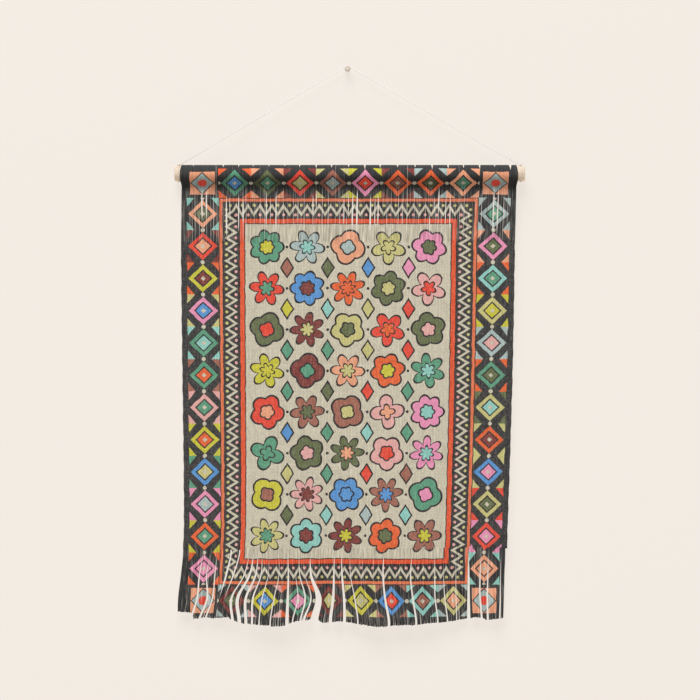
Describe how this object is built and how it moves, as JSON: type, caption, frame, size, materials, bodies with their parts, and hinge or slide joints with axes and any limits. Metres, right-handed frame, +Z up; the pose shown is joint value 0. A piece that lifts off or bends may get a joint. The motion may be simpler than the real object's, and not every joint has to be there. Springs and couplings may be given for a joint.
{
  "type": "textile wall hanging on a wooden dowel with a wall peg",
  "caption": "Printed woven cloth with a loose-warp heading and fringe, hung on a wooden dowel by a thin cord over a wall peg.",
  "frame": {"origin": "centre of the peg's flat back face, in the plane of the wall", "axes": "+Z up, +X to the right as seen from the front, +Y into the wall; the front faces -Y"},
  "size_m": [0.4178, 0.0229, 0.672],
  "materials": {
    "printed_cloth": "matt plain weave with a dyed print",
    "printed_warp": "matt loose warp threads with the same print",
    "pale_wood": "pale unvarnished wood",
    "cotton_cord": "thin off-white cotton twine"
  },
  "bodies": {
    "root": {"loop_01": "printed_warp", "loop_02": "printed_warp", "loop_03": "printed_warp", "loop_04": "printed_warp", "loop_05": "printed_warp", "loop_06": "printed_warp", "loop_07": "printed_warp", "loop_08": "printed_warp", "loop_09": "printed_warp", "loop_10": "printed_warp", "loop_11": "printed_warp", "loop_12": "printed_warp", "loop_13": "printed_warp", "loop_14": "printed_warp", "loop_15": "printed_warp", "loop_16": "printed_warp", "loop_17": "printed_warp", "loop_18": "printed_warp", "loop_19": "printed_warp", "loop_20": "printed_warp", "loop_21": "printed_warp", "panel": "printed_cloth", "fringe": "printed_warp", "dowel": "pale_wood", "peg": "pale_wood", "cord": "cotton_cord", "tie_left": "cotton_cord", "tie_right": "cotton_cord"}
  },
  "joints": []
}
